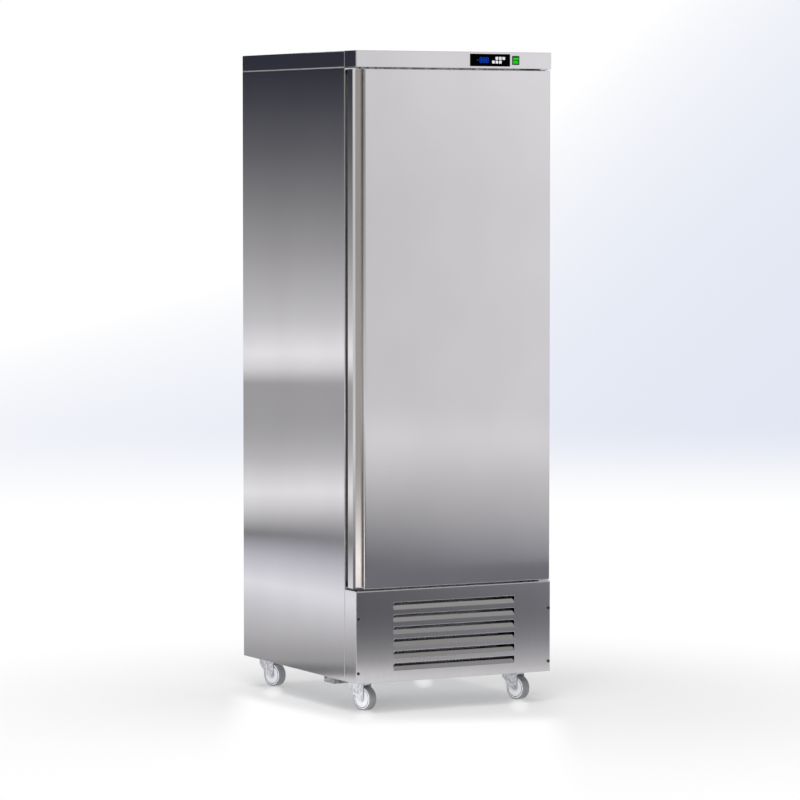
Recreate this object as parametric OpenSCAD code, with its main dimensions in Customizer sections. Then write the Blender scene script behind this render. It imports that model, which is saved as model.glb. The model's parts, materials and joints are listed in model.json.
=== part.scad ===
// Single-door reach-in refrigerator on four swivel casters.
// Frame: origin on the floor under the middle of the part, X to the right seen from
// the front, Y to the back, Z up. All sizes in millimetres.

/* [Cabinet] */
// Width of the cabinet
cabinet_w = 690; // [660:1:740]
// Depth from the front of the door to the back of the cabinet
cabinet_d = 808; // [770:1:860]
// Height from the floor to the top
total_h = 2050; // [1990:1:2150]
// Thickness of the outer sheet metal
sheet = 1.2; // [0.8:0.1:1.5]
// Outer radius of the sheet bends
bend_r = 3; // [2:0.5:4]
// Depth that the door, fascia and grille take up in front of the cabinet face
front_zone = 78; // [77:1:90]
// Width of the flange round the cabinet face
flange_w = 40; // [36:1:44]
// Open joint between neighbouring panels
seam = 0.6; // [0.4:0.1:0.9]
// How far the panels hang below the base pan
skirt_drop = 8; // [4:1:12]
// Thickness of the base pan
pan_t = 2; // [1.5:0.5:3]
// Height of the folded front edge of the base pan
pan_lip = 20; // [12:1:30]

/* [Insulation] */
// Thickness of the side walls
wall_t = 58; // [52:1:70]
// Thickness of the rear wall
back_t = 60; // [50:1:75]
// Thickness of the ceiling
ceiling_t = 60; // [50:1:75]
// Thickness of the floor
floor_t = 55; // [50:1:70]
// Thickness of the liner sheets
liner_t = 1; // [0.8:0.1:1.5]
// Depth of the plastic breaker strips round the opening
breaker_t = 4; // [3:0.5:6]

/* [Fascia] */
// Height of the control fascia and of the top cover
fascia_h = 51; // [48:1:70]
// Gap between the fascia and the door
fascia_gap = 6; // [5.5:0.5:10]
// Gap between the fascia's side returns and the cabinet face
fascia_back = 3; // [1:0.5:5]
// Width of the display panel
display_w = 142; // [130:1:160]
// Height of the display panel
display_h = 38.8; // [34:0.2:42]
// Middle of the display panel, to the right of the centre line
display_x = 124.5; // [60:0.5:130]
// How far the display panel stands proud of the fascia
display_proud = 1; // [0.6:0.1:2]
// Depth of the controller body behind the display panel
display_depth = 28; // [18:1:40]
// Margin of the display panel over its cut-out
display_rim = 3; // [2:0.5:5]
// Side of a square key
key_size = 9; // [7:0.5:10]
// Spacing of the keys along a row
key_pitch = 12.2; // [11.2:0.2:14]
// Spacing of the two key rows
key_row = 11.6; // [11:0.2:13]
// First key of the lower row, to the right of the centre line
key_x = 135.5; // [120:0.5:150]
// How far a key goes in
key_travel = 0.8; // [0.4:0.1:1.2]
// Length of a key
key_len = 6; // [4:0.5:8]
// Clearance round a key
key_clear = 0.2; // [0.15:0.05:0.3]
// Width of the switch frame
switch_w = 25; // [22:0.5:30]
// Height of the switch frame
switch_h = 28.6; // [26:0.2:34]
// Middle of the switch, to the right of the centre line
switch_x = 216; // [208:1:280]
// Width of the switch frame's rim
switch_rim = 3; // [2:0.5:4]
// How far the switch frame stands proud
switch_proud = 1.5; // [1:0.5:2]
// Depth of the switch body behind the fascia
switch_depth = 22; // [18:1:30]
// Tilt of the rocker to either side
rocker_tilt = 7; // [5:1:10]
// Depth of the rocker's pivot behind the fascia
rocker_pivot = 4; // [3.5:0.5:5]
// Distance from the rocker's pivot to its outer edges, along the depth
rocker_face = 5.5; // [5:0.5:6.5]
// Dip of the rocker face at its middle
rocker_dip = 1.8; // [1:0.2:2.5]
// Half width of the notch across the rocker face
rocker_notch_w = 1.4; // [1:0.2:2]
// Depth of the notch across the rocker face
rocker_notch_d = 2.4; // [1.6:0.2:3]
// Clearance round the rocker
rocker_clear = 0.4; // [0.3:0.1:0.6]

/* [Grille] */
// Height of the grille panel
grille_h = 287; // [280:1:320]
// Gap between the grille panel and the door
grille_gap = 6; // [5.5:0.5:10]
// Number of louvers
louver_count = 6; // [3:1:6]
// Width of a louver
louver_w = 430; // [300:1:520]
// Height of a louver window
louver_h = 22.6; // [16:0.2:28]
// Spacing of the louvers
louver_pitch = 38; // [34:0.5:40]
// Lowest louver above the lower edge of the panel
louver_first = 34; // [28:1:44]
// Lean of the lower part of a louver blade
louver_lean = 22; // [15:1:30]
// Lean of the upper part of a louver blade
louver_tuck = 65; // [55:1:75]
// Length of the lower part of a louver blade
blade_low = 14.5; // [13:0.5:16]
// Length of the upper part of a louver blade
blade_high = 8; // [6:0.5:9]
// Width of the cut at the upper corners of a louver blade
blade_cut_w = 10; // [6:0.5:14]
// Height of the cut at the upper corners of a louver blade
blade_cut_h = 9; // [6:0.5:11]
// Corner radius of the louver windows
louver_r = 4; // [2:0.5:6]
// Side clearance of a louver blade in its window
louver_clear = 0.6; // [0.4:0.1:1]
// Screws from the side edges of the panel
screw_inset = 7; // [6:0.5:9]
// Lower screws above the lower edge of the panel
screw_low = 32; // [24:1:60]
// Upper screws above the lower edge of the panel
screw_high = 201; // [150:1:220]
// Diameter of the screw heads
screw_head_d = 9; // [6:0.5:10]
// Diameter of the screw shanks
screw_d = 4; // [3:0.5:5]
// Depth of the panel's folded lower edge
grille_return = 16; // [10:1:30]

/* [Door] */
// Gap between the side of the door and the side of the cabinet
door_inset = 4.5; // [3:0.5:6]
// Thickness of the door without its gasket
door_t = 64; // [60:1:66]
// Width of the front ledge beside the grip
ledge_w = 9; // [8:0.5:14]
// Depth of the ledge behind the door front
ledge_depth = 30.5; // [28:0.5:36]
// Reach of the finger groove from the edge of the door
groove_reach = 42; // [38:0.5:48]
// Depth of the finger groove behind the door front
groove_depth = 45; // [42:0.5:50]
// Middle of the rolled front edge from the edge of the door
nose_x = 31; // [26:0.5:34]
// Radius of the rolled front edge
nose_r = 7; // [5:0.5:8]
// Width of the folded rear edges
door_return = 15; // [10:1:20]
// Height of the raised middle of the door liner
pan_rise = 9; // [6:0.5:11]
// Width of the gasket
gasket_w = 12; // [10:0.5:14]
// Gasket from the edges of the door
gasket_inset = 16; // [15.5:0.5:17]
// Wall of the hollow gasket
gasket_wall = 2; // [1.5:0.5:3]
// Gap between the gasket and the cabinet face
gasket_clear = 0.3; // [0.2:0.1:0.6]
// Hinge axis from the right edge of the door
hinge_inset = 14.5; // [12:0.5:15.5]
// Hinge axis behind the door front
hinge_depth = 30; // [24:1:34]
// Diameter of the hinge pins
hinge_pin_d = 10; // [8:0.5:12]
// Length of a hinge pin in its bush
hinge_pin_len = 18; // [14:1:24]
// Thickness of the hinge plates
hinge_t = 3.2; // [2.6:0.2:3.4]
// Width of the hinge plates
hinge_w = 38; // [32:1:40]
// Distance of the hinge plates behind the door front
hinge_back = 3; // [2:0.5:12]
// Height of the hinge brackets' upright leaves
hinge_leaf = 38; // [30:1:44]

/* [Interior] */
// Lowest shelf above the cabinet floor
shelf_first = 330; // [250:5:400]
// Spacing of the shelves
shelf_pitch = 330; // [250:5:400]
// Diameter of the shelf frame rods
shelf_rod_d = 6; // [5.5:0.5:8]
// Diameter of the shelf cross bars
shelf_bar_d = 5; // [4:0.5:5]
// Diameter of the shelf wires
shelf_wire_d = 4; // [3:0.5:5]
// Number of wires across a shelf
shelf_wires = 17; // [13:2:23]
// Depth of a shelf
shelf_d = 590; // [500:5:600]
// Shelf from the rear liner
shelf_back = 12; // [8:1:20]
// Width of a shelf rail
rail_w = 25; // [20:1:30]
// Thickness of a shelf rail
rail_t = 8; // [6:0.5:10]
// Front rails behind the cabinet face
rail_front = 95; // [80:5:160]
// Rear rails in front of the rear liner
rail_back = 70; // [50:5:120]
// Spacing of the slots in the rails
rail_pitch = 60; // [50:5:80]
// Gap between a shelf and the rails
shelf_clear = 3; // [2:0.5:5]
// Reach of a shelf clip
clip_reach = 16; // [12:1:20]

/* [Evaporator] */
// Width of the evaporator cover
evap_w = 500; // [440:5:520]
// Depth of the evaporator cover
evap_d = 300; // [280:5:340]
// Height of the evaporator cover
evap_h = 160; // [150:2:180]
// Diameter of the evaporator fan
evap_fan_d = 128; // [110:2:134]
// Diameter of the evaporator fan motor
evap_motor_d = 62; // [50:2:70]
// Length of the evaporator fan motor
evap_motor_len = 45; // [35:1:55]

/* [Machine compartment] */
// Width of the condenser fins
cond_w = 400; // [340:5:420]
// Depth of the condenser
cond_d = 50; // [40:1:60]
// Height of the condenser
cond_h = 240; // [220:2:250]
// Condenser behind the cabinet face
cond_front = 14; // [8:1:24]
// Diameter of the condenser fan
cond_fan_d = 200; // [170:2:210]
// Diameter of the condenser fan motor
cond_motor_d = 84; // [70:2:96]
// Length of the condenser fan motor
cond_motor_len = 70; // [60:1:90]
// Diameter of the compressor shell
comp_d = 172; // [150:2:180]
// Height of the compressor shell
comp_h = 190; // [160:2:205]
// Height of the compressor's feet
comp_feet = 14; // [10:1:18]
// Compressor from the centre line
comp_x = 110; // [90:2:140]
// Compressor in front of the cabinet back
comp_back = 190; // [170:2:210]
// Diameter of the refrigerant lines
line_d = 9.5; // [6:0.5:12]
// Height of the condensate tray
tray_h = 42; // [30:2:60]
// Width of the channel under the base
channel_w = 67; // [50:1:80]
// Front of the channel behind the door front
channel_front = 208; // [200:1:230]
// Depth of the channel below the panels' lower edge
channel_drop = 25; // [10:1:30]
// Ends of the channel from the cabinet sides
channel_inset = 27; // [20:1:60]

/* [Casters] */
// Diameter of the wheels
wheel_d = 75; // [70:1:80]
// Width of the wheels
wheel_w = 30; // [26:1:34]
// Thickness of the tyres
tyre_t = 4; // [3:0.5:6]
// Offset of the axle from the swivel axis
caster_trail = 27; // [22:1:30]
// Angle of the casters at rest
caster_swivel = 18; // [0:1:45]
// Swivel axes from the cabinet sides
caster_side = 71; // [60:1:90]
// Front swivel axes behind the door front
caster_front = 122; // [118:1:126]
// Rear swivel axes in front of the cabinet back
caster_rear = 42; // [38:1:60]
// Thickness of the fork legs
fork_t = 2.5; // [2:0.5:4]
// Gap between the wheel and the fork legs
fork_gap = 1.5; // [1:0.5:3]
// Gap between the wheel and the fork crown
crown_gap = 6; // [5:1:10]
// Thickness of the fork crown
crown_t = 3; // [2.5:0.5:5]
// Height of the swivel bearing
race_h = 18.2; // [14:0.2:22]
// Diameter of the swivel bearing
race_d = 48; // [42:1:54]
// Running gap of the swivel bearing
race_gap = 0.3; // [0.2:0.1:0.5]
// Thickness of the mounting plates
plate_t = 2.5; // [2:0.5:4]
// Side of the mounting plates
plate_w = 66; // [60:1:72]
// Diameter of the swivel pins
kingpin_d = 12; // [10:1:14]
// Diameter of the wheel axles
axle_d = 8; // [6:1:10]

/* [Fits] */
// Running clearance of pins and shafts, on the radius
run_fit = 0.05; // [0.02:0.01:0.1]
// Clearance of bushes and of pieces that sit in holes
seat_fit = 0.1; // [0.05:0.05:0.2]
// Joint between strips and sheets of one kind
butt_joint = 0.1; // [0.05:0.05:0.3]

/* [Hidden] */
$fn = 64;
eps = 0.01;
hw = cabinet_w / 2;

// Heights
base_z = wheel_d + crown_gap + crown_t + race_h + race_gap + plate_t;
edge_z = base_z - skirt_drop;
pan_top = base_z + pan_t;
grille_top = edge_z + grille_h;
deck_z = grille_top;
door_z0 = grille_top + grille_gap;
fascia_z0 = total_h - fascia_h;
door_z1 = fascia_z0 - fascia_gap;
door_h = door_z1 - door_z0;
side_top = fascia_z0 - seam;
fascia_mid = fascia_z0 + fascia_h / 2;

// Depths. The rocker is what stands furthest forward.
switch_hole_w = switch_w - 2 * switch_rim;
switch_hole_h = switch_h - 2 * switch_rim;
rocker_w = switch_hole_w - 2 * rocker_clear;
rocker_reach = switch_hole_h / 2 - rocker_clear;
rocker_half = sqrt(pow(rocker_reach, 2) - pow(rocker_face, 2));
rocker_proud = rocker_face * cos(rocker_tilt) + rocker_half * sin(rocker_tilt) - rocker_pivot;
y_front = rocker_proud - (cabinet_d + rocker_proud) / 2;
y_back = y_front + cabinet_d;
y_face = y_front + front_zone;

// Cavity
breaker_w = wall_t - flange_w;
cav_x = hw - wall_t;
cav_y0 = y_face + breaker_t;
cav_y1 = y_back - back_t;
cav_z0 = deck_z + floor_t;
cav_z1 = fascia_z0 - ceiling_t;
header_z0 = cav_z1 + breaker_w;
sill_z1 = cav_z0 - breaker_w;
sill_z0 = deck_z - flange_w;

// Door, measured from its left edge and its front
door_w = cabinet_w - 2 * door_inset;
door_x0 = -hw + door_inset;
hinge_x = hw - door_inset - hinge_inset;
hinge_y = y_front + hinge_depth;
bush_d = hinge_pin_d + 6;
bush_flange_d = hinge_pin_d + 12;
bush_gap = 0.3;
hinge_top_z = fascia_z0 - 1 - hinge_t;
hinge_low_z = door_z0 - (hinge_top_z - door_z1);
nose_steps = 12;
nose_arc = [for (i = [1 : nose_steps])
    [nose_x - nose_r * sin(180 * i / nose_steps), nose_r - nose_r * cos(180 * i / nose_steps)]];
skin_path = concat(
    [[door_w - door_return, door_t - liner_t], [door_w, door_t - liner_t], [door_w, 0], [nose_x, 0]],
    nose_arc,
    [[groove_reach, 2 * nose_r]]);
grip_path = [
    [groove_reach, 2 * nose_r - sheet], [groove_reach, groove_depth], [ledge_w, ledge_depth],
    [0, ledge_depth], [0, door_t - liner_t], [door_return, door_t - liner_t]];
pan_inset = gasket_inset + gasket_w + 3;
gasket_t = front_zone - door_t - gasket_clear;

// Interior
rail_x = cav_x - rail_t;
rail_ys = [y_face + rail_front, cav_y1 - rail_back - rail_w];
rail_z0 = cav_z0 + 40;
rail_z1 = cav_z1 - evap_h - 60;
shelf_zs = [for (i = [0 : 2]) cav_z0 + shelf_first + i * shelf_pitch];
shelf_x = rail_x - shelf_clear;
shelf_y1 = cav_y1 - shelf_back;
shelf_y0 = shelf_y1 - shelf_d;

// Evaporator
evap_y0 = cav_y1 - evap_d;
evap_z0 = cav_z1 - evap_h;
evap_axis_z = evap_z0 + evap_h / 2;
evap_fan_t = 22;
evap_fan_y = evap_y0 + liner_t + 8;
evap_motor_y = evap_fan_y + evap_fan_t + 6;
evap_coil_y = evap_motor_y + evap_motor_len + 20;
shaft_d = 8;

// Machine compartment
cond_y0 = y_face + cond_front;
cond_y1 = cond_y0 + cond_d;
cond_tubes = 8;
cond_foot = 12;
shroud_t = 1.5;
shroud_ring = 30;
cond_axis_z = pan_top + cond_foot + cond_h / 2;
cond_fan_t = 24;
cond_fan_y = cond_y1 + shroud_t + 3;
cond_motor_y = cond_fan_y + cond_fan_t + 16;
comp_y = y_back - comp_back;
channel_y = y_front + channel_front;
channel_z = edge_z - channel_drop;
channel_t = 1.5;
post_t = 1.5;
post_x = hw - sheet - 26;
hinge_leaf_t = 3;
post_z0 = edge_z + 10;
post_z1 = hinge_low_z - hinge_leaf - 3;

// Casters
axle_z = wheel_d / 2;
crown_z = wheel_d + crown_gap;
race_z = crown_z + crown_t;
plate_z = base_z - plate_t;
fork_x = wheel_w / 2 + fork_gap;
caster_xs = [-hw + caster_side, hw - caster_side];
caster_ys = [y_front + caster_front, y_back - caster_rear];
hub_r = wheel_d / 2 - tyre_t;

// Helpers

// Box between two corners
module span(a, b) { translate(a) cube(b - a); }

// What rounding a corner at the origin takes away, with the solid in the first quadrant
module corner_waste(r) {
    difference() {
        translate([-1, -1]) square(r + 1);
        translate([r, r]) circle(r);
    }
}

// Rectangle from the origin with four round corners
module round_rect(w, h, r) {
    difference() {
        square([w, h]);
        corner_waste(r);
        translate([w, 0]) rotate(90) corner_waste(r);
        translate([w, h]) rotate(180) corner_waste(r);
        translate([0, h]) rotate(270) corner_waste(r);
    }
}

// Rounds an upright edge at the origin
module round_upright(len, r) {
    translate([0, 0, -1]) linear_extrude(len + 2) corner_waste(r);
}

// Extrudes a plan outline given in door measures
module door_extrude(z0, z1) {
    translate([door_x0, y_front, z0]) linear_extrude(z1 - z0) children();
}

function unit(v) = v / norm(v);
function right_of(a, b) = let (d = unit(b - a)) [d[1], -d[0]];
// Point i of a path moved to the right-hand side by t, mitred at the bends
function side_point(path, i, t) =
    let (n0 = i > 0 ? right_of(path[i - 1], path[i]) : right_of(path[0], path[1]),
         n1 = i < len(path) - 1 ? right_of(path[i], path[i + 1]) : n0)
    path[i] + t * (n0 + n1) / (1 + n0 * n1);
function side_path(path, t) = [for (i = [0 : len(path) - 1]) side_point(path, i, t)];
function reversed(list) = [for (i = [len(list) - 1 : -1 : 0]) list[i]];
// Outline of a folded sheet that follows a path
module folded_sheet(path, t) { polygon(concat(path, reversed(side_path(path, t)))); }

// Turns what is modelled along Z so that it runs along Y
module along_y(x, y, z) { translate([x, y, z]) rotate([-90, 0, 0]) children(); }

// Cabinet

module side_panel() {
    difference() {
        span([hw - flange_w, y_face, edge_z], [hw, y_back, side_top]);
        span([hw - flange_w - 1, y_face + sheet, edge_z - 1], [hw - sheet, y_back + 1, side_top - sheet]);
        translate([hw, y_face, edge_z]) rotate(90) round_upright(side_top - edge_z, bend_r);
        translate([hw, y_back, side_top]) rotate([90, 0, 0]) rotate(180)
            round_upright(y_back - y_face, bend_r);
    }
}
module left_side_panel() { color("gainsboro") mirror([1, 0, 0]) side_panel(); }
module right_side_panel() { color("gainsboro") side_panel(); }

module back_panel() {
    vent_w = 70;
    vent_h = 9;
    color("lightgray") difference() {
        span([-hw + sheet, y_back - sheet, edge_z], [hw - sheet, y_back, side_top - sheet]);
        for (column = [-2 : 2], row = [0 : 5])
            translate([column * 100 - vent_w / 2, y_back + 1, pan_top + 60 + row * 26])
                rotate([90, 0, 0]) linear_extrude(sheet + 2) round_rect(vent_w, vent_h, vent_h / 3);
    }
}

module top_cover() {
    y0 = y_face + sheet;
    lip = 14;
    len = y_back - y0;
    color("gainsboro") difference() {
        span([-hw, y0, fascia_z0], [hw, y_back, total_h]);
        span([-hw + sheet, y0 - 1, fascia_z0 + sheet], [hw - sheet, y_back - sheet, total_h - sheet]);
        span([-hw + lip, y0 - 1, fascia_z0 - 1], [hw - lip, y_back - lip, fascia_z0 + sheet + 1]);
        for (side = [0, 1]) mirror([side, 0, 0]) {
            translate([hw, y_back, total_h]) rotate([90, 0, 0]) rotate(180) round_upright(len, bend_r);
            translate([hw, y_back, fascia_z0]) rotate([90, 0, 0]) rotate(90) round_upright(len, bend_r);
        }
    }
}

module control_fascia() {
    bottom_gap = 8;
    color("gainsboro") difference() {
        span([-hw, y_front, fascia_z0], [hw, y_face - seam, total_h]);
        span([-hw + sheet, y_front + sheet, fascia_z0 + sheet], [hw - sheet, y_face + 1, total_h - sheet]);
        span([-hw + sheet, y_face - bottom_gap, fascia_z0 - 1], [hw - sheet, y_face + 1, fascia_z0 + sheet + 1]);
        for (side = [0, 1]) mirror([side, 0, 0]) {
            translate([hw, y_front, fascia_z0]) rotate(90) round_upright(fascia_h, bend_r);
            span([hw - sheet - eps, y_face - fascia_back, fascia_z0 - 1], [hw + 1, y_face, total_h - sheet]);
        }
        translate([display_x, y_front + sheet + 1, fascia_mid]) rotate([90, 0, 0])
            linear_extrude(sheet + 2)
                square([display_w - 2 * display_rim, display_h - 2 * display_rim], center = true);
        translate([switch_x, y_front + sheet + 1, fascia_mid]) rotate([90, 0, 0])
            linear_extrude(sheet + 2)
                square([switch_w - switch_rim, switch_h - switch_rim], center = true);
    }
}

// Header over the opening and sill under it
module front_frame() {
    x = hw - flange_w;
    color("silver") {
        span([-x, y_face, header_z0], [x, y_face + sheet, fascia_z0]);
        span([-hw + sheet, y_face, fascia_z0], [hw - sheet, y_face + sheet, total_h - sheet]);
        span([-x, y_face, sill_z0], [x, y_face + sheet, sill_z1]);
    }
}

module deck_sheet() {
    color("lightgray")
        span([-hw + sheet, y_face + sheet, deck_z - sheet], [hw - sheet, y_back - sheet, deck_z]);
}

module base_pan() {
    y0 = y_face + sheet;
    color("silver") {
        span([-hw + sheet, y0, base_z], [hw - sheet, y_back - sheet, pan_top]);
        span([-hw + sheet, y0, base_z], [hw - sheet, y0 + pan_t, base_z + pan_lip]);
    }
}

module base_channel() {
    x = hw - channel_inset;
    color("darkgray") difference() {
        span([-x, channel_y, channel_z], [x, channel_y + channel_w, base_z]);
        span([-x + channel_t, channel_y + channel_t, channel_z + channel_t],
            [x - channel_t, channel_y + channel_w - channel_t, base_z + 1]);
        for (side = [0, 1]) mirror([side, 0, 0])
            translate([x, channel_y, channel_z]) rotate(90) round_upright(base_z - channel_z, channel_t);
    }
}

module cabinet_foam() {
    x = hw - sheet;
    cx = cav_x + liner_t;
    color("moccasin") difference() {
        span([-x, y_face + sheet, deck_z], [x, y_back - sheet, side_top - sheet]);
        span([-cx, y_face, cav_z0 - liner_t], [cx, cav_y1 + liner_t, cav_z1 + liner_t]);
        span([-hw + flange_w, y_face, sill_z1], [hw - flange_w, cav_y0, header_z0]);
    }
}

// Five folded sheets: two sides, rear, ceiling and floor
module inner_liner() {
    cx = cav_x + liner_t;
    color("whitesmoke") {
        for (side = [0, 1]) mirror([side, 0, 0])
            span([cav_x, cav_y0, cav_z0 + butt_joint], [cx, cav_y1 - butt_joint, cav_z1 - butt_joint]);
        span([-cx, cav_y1, cav_z0 - liner_t], [cx, cav_y1 + liner_t, cav_z1 + liner_t]);
        span([-cx, cav_y0, cav_z1], [cx, cav_y1 - butt_joint, cav_z1 + liner_t]);
        span([-cx, cav_y0, cav_z0 - liner_t], [cx, cav_y1 - butt_joint, cav_z0]);
    }
}

module breaker_frame() {
    color("lightgray") {
        for (side = [0, 1]) mirror([side, 0, 0])
            span([cav_x, y_face, sill_z1], [hw - flange_w, cav_y0, header_z0]);
        x = cav_x - butt_joint;
        span([-x, y_face, sill_z1], [x, cav_y0, cav_z0]);
        span([-x, y_face, cav_z1], [x, cav_y0, header_z0]);
    }
}

// Grille

// Window and blade of one pressed louver, with the window's lower left corner at the origin
module louver_window() {
    translate([0, sheet + 1, 0]) rotate([90, 0, 0])
        linear_extrude(sheet + 2) round_rect(louver_w, louver_h, louver_r);
}
// Blade in two flat parts, the upper one tucked in further, with its upper corners cut off
module louver_blade() {
    w = louver_w - 2 * louver_clear;
    fold = blade_low * [sin(louver_lean), cos(louver_lean)];
    tip = fold + blade_high * [sin(louver_tuck), cos(louver_tuck)];
    top = tip[1] + 1;
    translate([louver_w / 2, 0, 0]) difference() {
        translate([-w / 2, 0, 0]) rotate([90, 0, 90]) linear_extrude(w) folded_sheet([[0, 0], fold, tip], sheet);
        for (side = [0, 1]) mirror([side, 0, 0])
            translate([w / 2, louver_h, 0]) rotate([90, 0, 0]) linear_extrude(2 * louver_h)
                polygon([[-blade_cut_w, top], [1, top], [1, tip[1] - blade_cut_h]]);
    }
}
module at_louvers() {
    for (i = [0 : louver_count - 1])
        translate([-louver_w / 2, y_front, edge_z + louver_first + i * louver_pitch]) children();
}
module at_screws() {
    for (x = [-hw + screw_inset, hw - screw_inset], z = [screw_low, screw_high])
        along_y(x, y_front, edge_z + z) children();
}

module grille_panel() {
    top_return = front_zone - 10;
    color("gainsboro") {
        difference() {
            span([-hw, y_front, edge_z], [hw, y_face - seam, grille_top]);
            span([-hw + sheet, y_front + sheet, edge_z + sheet], [hw - sheet, y_face + 1, grille_top - sheet]);
            span([-hw + sheet, y_front + grille_return, edge_z - 1], [hw - sheet, y_face + 1, edge_z + sheet + 1]);
            span([-hw + sheet, y_front + top_return, grille_top - sheet - 1], [hw - sheet, y_face + 1, grille_top + 1]);
            for (side = [0, 1]) mirror([side, 0, 0])
                translate([hw, y_front, edge_z]) rotate(90) round_upright(grille_h, bend_r);
            translate([-hw, y_front, grille_top]) rotate([0, 90, 0]) round_upright(cabinet_w, bend_r);
            at_louvers() louver_window();
            at_screws() translate([0, 0, -1]) cylinder(h = sheet + 2, d = screw_d + 2 * seat_fit);
        }
        at_louvers() louver_blade();
    }
}

// Z-shaped uprights that the grille panel is screwed to
module grille_posts() {
    color("darkgray") for (side = [0, 1]) mirror([side, 0, 0]) difference() {
        union() {
            span([post_x, y_front + sheet, post_z0], [hw - sheet, y_front + sheet + post_t, post_z1]);
            span([post_x, y_front + sheet, post_z0], [post_x + post_t, y_face, post_z1]);
            span([hw - flange_w, y_face - post_t, post_z0], [post_x + post_t, y_face, post_z1]);
        }
        at_screws() cylinder(h = 10, d = screw_d + 2 * seat_fit);
    }
}

module grille_screws() {
    head_t = 2.2;
    socket_d = 3;
    color("dimgray") at_screws() difference() {
        union() {
            translate([0, 0, -head_t]) cylinder(h = head_t, d = screw_head_d);
            translate([0, 0, -eps]) cylinder(h = 12, d = screw_d);
        }
        translate([0, 0, -head_t - 1]) cylinder(h = 2.2, d = socket_d, $fn = 6);
    }
}

// Controls

// Place of key n, counted from the left in the lower row and then in the upper row
function key_pos(n) = let (row = floor((n - 1) / 3), column = (n - 1) % 3)
    [key_x + (column + row) * key_pitch, fascia_mid + (row - 0.5) * key_row];

module display_panel() {
    body_w = display_w - 2 * display_rim - 2 * seat_fit;
    body_h = display_h - 2 * display_rim - 2 * seat_fit;
    hole = key_size + 2 * key_clear;
    color([0.05, 0.05, 0.06]) difference() {
        union() {
            translate([display_x - display_w / 2, y_front, fascia_mid - display_h / 2]) rotate([90, 0, 0])
                linear_extrude(display_proud) round_rect(display_w, display_h, 1.5);
            span([display_x - body_w / 2, y_front - eps, fascia_mid - body_h / 2],
                [display_x + body_w / 2, y_front + display_depth, fascia_mid + body_h / 2]);
        }
        for (n = [1 : 6])
            translate([key_pos(n)[0] - hole / 2, y_front - display_proud - 1, key_pos(n)[1] - hole / 2])
                cube([hole, key_len + key_travel + 2, hole]);
    }
}

module key(n) {
    proud = key_travel + 0.2;
    color("white") translate([key_pos(n)[0] - key_size / 2, y_front - display_proud - proud + key_len,
            key_pos(n)[1] - key_size / 2])
        rotate([90, 0, 0]) linear_extrude(key_len) round_rect(key_size, key_size, 0.8);
}

module switch_frame() {
    body_w = switch_w - switch_rim - 2 * seat_fit;
    body_h = switch_h - switch_rim - 2 * seat_fit;
    pocket = rocker_pivot + 10;
    color("darkgreen") difference() {
        union() {
            translate([switch_x - switch_w / 2, y_front, fascia_mid - switch_h / 2]) rotate([90, 0, 0])
                linear_extrude(switch_proud) round_rect(switch_w, switch_h, 1.5);
            span([switch_x - body_w / 2, y_front - eps, fascia_mid - body_h / 2],
                [switch_x + body_w / 2, y_front + switch_depth, fascia_mid + body_h / 2]);
        }
        span([switch_x - switch_hole_w / 2, y_front - switch_proud - 1, fascia_mid - switch_hole_h / 2],
            [switch_x + switch_hole_w / 2, y_front + pocket, fascia_mid + switch_hole_h / 2]);
    }
}

module rocker() {
    back = 6;
    middle = rocker_dip - rocker_face;
    color("limegreen") translate([switch_x - rocker_w / 2, y_front + rocker_pivot, fascia_mid])
        rotate([rocker_tilt, 0, 0]) rotate([90, 0, 90]) linear_extrude(rocker_w)
            polygon([[-rocker_face, -rocker_half], [middle, -rocker_notch_w],
                [middle + rocker_notch_d, 0], [middle, rocker_notch_w], [-rocker_face, rocker_half],
                [back, rocker_half / 2], [back, -rocker_half / 2]]);
}

// Hinges

// Plate with a pin that points down along -Z, and an upright leaf behind it
module hinge_bracket(pin_len) {
    x1 = hw - sheet - seam - hinge_x;
    x0 = x1 - hinge_w;
    y0 = y_front + hinge_back - hinge_y;
    reach = y_face - hinge_y;
    round_r = 4;
    union() {
        linear_extrude(hinge_t) difference() {
            translate([x0, y0]) square([hinge_w, reach - y0]);
            translate([x0, y0]) corner_waste(round_r);
            translate([x1, y0]) rotate(90) corner_waste(round_r);
        }
        span([x0, reach - hinge_leaf_t, 0], [x1, reach, hinge_leaf]);
        translate([0, 0, -pin_len]) cylinder(h = pin_len + hinge_t / 2, d = hinge_pin_d);
    }
}
module hinge_brackets() {
    gap_len = hinge_pin_len + hinge_top_z - door_z1;
    color("silver") {
        translate([hinge_x, hinge_y, hinge_top_z]) hinge_bracket(gap_len);
        translate([hinge_x, hinge_y, hinge_low_z]) mirror([0, 0, 1]) hinge_bracket(gap_len);
    }
}

// Flanged bushes, in the top and the bottom of the door
module hinge_bush() {
    depth = hinge_pin_len + 4;
    flange_t = hinge_top_z - door_z1 - bush_gap;
    difference() {
        union() {
            translate([0, 0, -depth]) cylinder(h = depth + flange_t, d = bush_d);
            cylinder(h = flange_t, d = bush_flange_d);
        }
        translate([0, 0, -hinge_pin_len - 1]) cylinder(h = depth + 10, d = hinge_pin_d + 2 * run_fit);
    }
}
module at_bushes() {
    translate([hinge_x, hinge_y, door_z1]) children();
    translate([hinge_x, hinge_y, door_z0]) mirror([0, 0, 1]) children();
}
module hinge_bushes() { color("ivory") at_bushes() hinge_bush(); }
module bush_hole() {
    depth = hinge_pin_len + 4 + seat_fit;
    translate([0, 0, -depth]) cylinder(h = depth + 1, d = bush_d + 2 * seat_fit);
}

// Door

// Inside of the door, at a distance from the outer faces of the skin and the grip
module door_core(depth) {
    polygon(concat(side_path(skin_path, depth), side_path(grip_path, depth)));
}

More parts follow.
